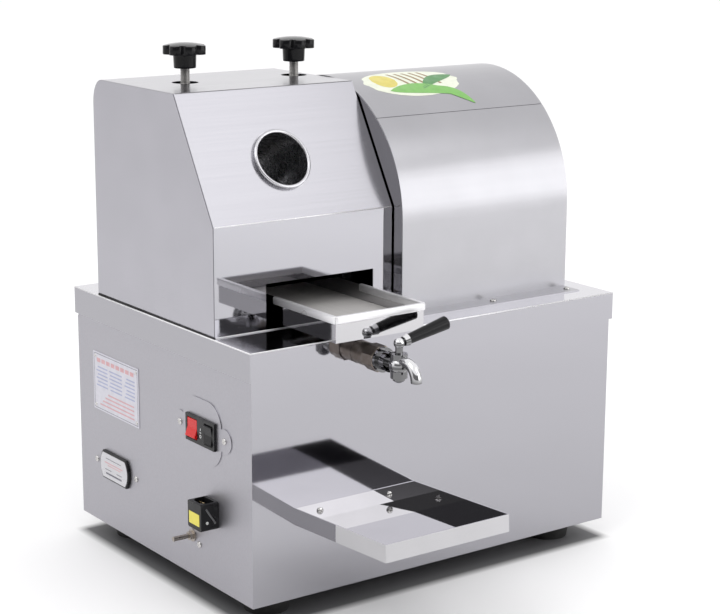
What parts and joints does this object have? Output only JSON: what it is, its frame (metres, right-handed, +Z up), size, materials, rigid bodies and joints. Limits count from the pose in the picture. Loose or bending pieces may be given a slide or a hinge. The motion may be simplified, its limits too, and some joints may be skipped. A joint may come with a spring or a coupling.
{
  "type": "electric sugarcane juicer",
  "caption": "Stainless bench machine that presses sugarcane between stacked fluted rollers, with a slanted feed tube, star knob press screws, a bagasse trough, a tap and a drip tray.",
  "frame": {"origin": "on the ground under the middle of the whole machine's box", "axes": "+Z up, +Y from the tap's side to the back, +X from the switch's side to the gear drum"},
  "size_m": [0.585, 0.6092, 0.664],
  "materials": {
    "stainless": "polished stainless sheet",
    "fasteners": "bright zinc and stainless fasteners",
    "roller_steel": "turned stainless steel",
    "gear_steel": "machined and oiled steel",
    "frame_steel": "machined steel plate",
    "bronze": "oil soaked bronze",
    "pipe_steel": "dull steel pipe with a brownish cast",
    "chrome": "bright plated",
    "black_plastic": "moulded black plastic",
    "red_plastic": "clear red moulding",
    "rubber": "matt moulded rubber",
    "cast_housing": "painted casting",
    "motor_paint": "painted casting",
    "plate_metal": "thin pale plate",
    "contact_brass": "plain brass"
  },
  "bodies": {
    "machine": {"cabinet_shell": "stainless", "back_panel": "stainless", "bottom_plate": "frame_steel", "lid": "stainless", "rubber_feet": "rubber", "foot_screws": "fasteners", "panel_screws": "fasteners", "head_cover": "stainless", "head_left_side": "stainless", "head_right_side": "stainless", "feed_tube": "stainless", "left_stand": "frame_steel", "right_stand": "frame_steel", "outboard_stand": "frame_steel", "tie_bars": "roller_steel", "bed_plate": "frame_steel", "frame_bolts": "fasteners", "fixed_bushes": "bronze", "turn_plate": "stainless", "scraper": "stainless", "juice_pan": "stainless", "bagasse_plate": "stainless", "drain_elbow": "pipe_steel", "tap_body": "chrome", "tap_cap": "chrome", "drip_tray": "stainless", "drum_front_cover": "stainless", "drum_top_cover": "stainless", "drum_left_end": "stainless", "drum_right_end": "stainless", "gearbox": "cast_housing", "motor": "motor_paint", "rating_plate": "plate_metal", "plate_rivets": "fasteners", "switch_plate": "stainless", "switch_housing": "black_plastic", "blank_cover": "black_plastic", "power_inlet": "black_plastic", "inlet_prongs": "contact_brass", "earth_stud": "fasteners"},
    "main_roller": {"main_roller": "roller_steel", "main_gear": "gear_steel", "bull_gear": "gear_steel"},
    "bottom_roller": {"bottom_roller": "roller_steel", "bottom_gear": "gear_steel"},
    "top_carriage": {"top_blocks": "frame_steel", "top_bushes": "bronze"},
    "top_roller": {"top_roller": "roller_steel", "top_gear": "gear_steel"},
    "drive_pinion": {"drive_pinion": "gear_steel"},
    "left_knob": {"left_press_screw": "roller_steel", "left_knob": "black_plastic"},
    "right_knob": {"right_press_screw": "roller_steel", "right_knob": "black_plastic"},
    "tap_lever": {"tap_plug": "chrome", "tap_ferrule": "chrome", "tap_grip": "black_plastic"},
    "red_rocker": {"red_rocker": "red_plastic"},
    "black_rocker": {"black_rocker": "black_plastic"}
  },
  "joints": [
    {"name": "main_spin", "type": "hinge", "parent": "machine", "child": "main_roller", "pos_m": [0, 0.13747, 0.442], "axis": [1, 0, 0], "continuous": true},
    {"name": "bottom_spin", "type": "hinge", "parent": "machine", "child": "bottom_roller", "pos_m": [0, 0.13747, 0.386], "axis": [1, 0, 0], "continuous": true},
    {"name": "press_slide", "type": "slide", "parent": "machine", "child": "top_carriage", "axis": [0, 0, 1], "range_m": [0, 0.004]},
    {"name": "top_spin", "type": "hinge", "parent": "top_carriage", "child": "top_roller", "pos_m": [0, 0.13747, 0.498], "axis": [1, 0, 0], "continuous": true},
    {"name": "pinion_spin", "type": "hinge", "parent": "machine", "child": "drive_pinion", "pos_m": [0, 0.13747, 0.302], "axis": [1, 0, 0], "continuous": true},
    {"name": "left_knob_turn", "type": "hinge", "parent": "top_carriage", "child": "left_knob", "pos_m": [-0.1915, 0.13747, 0.64], "axis": [0, 0, 1], "range_deg": [0, 823]},
    {"name": "right_knob_turn", "type": "hinge", "parent": "top_carriage", "child": "right_knob", "pos_m": [-0.0305, 0.13747, 0.64], "axis": [0, 0, 1], "range_deg": [0, 823]},
    {"name": "lever_turn", "type": "hinge", "parent": "machine", "child": "tap_lever", "pos_m": [-0.1135, -0.20253, 0.317], "axis": [0, 0, 1], "range_deg": [-90, 0]},
    {"name": "red_rock", "type": "hinge", "parent": "machine", "child": "red_rocker", "pos_m": [-0.2648, 0.00287, 0.21696], "axis": [0, 1, 0], "range_deg": [-20, 0]},
    {"name": "black_rock", "type": "hinge", "parent": "machine", "child": "black_rocker", "pos_m": [-0.2648, -0.03433, 0.21696], "axis": [0, 1, 0], "range_deg": [-10, 10]}
  ],
  "couplings": [
    {"joint": "bottom_spin", "follows": "main_spin", "ratio": -1},
    {"joint": "top_spin", "follows": "main_spin", "ratio": -1},
    {"joint": "pinion_spin", "follows": "main_spin", "ratio": -4},
    {"joint": "left_knob_turn", "follows": "press_slide", "rad_per_m": 3590.4},
    {"joint": "right_knob_turn", "follows": "press_slide", "rad_per_m": 3590.4}
  ]
}
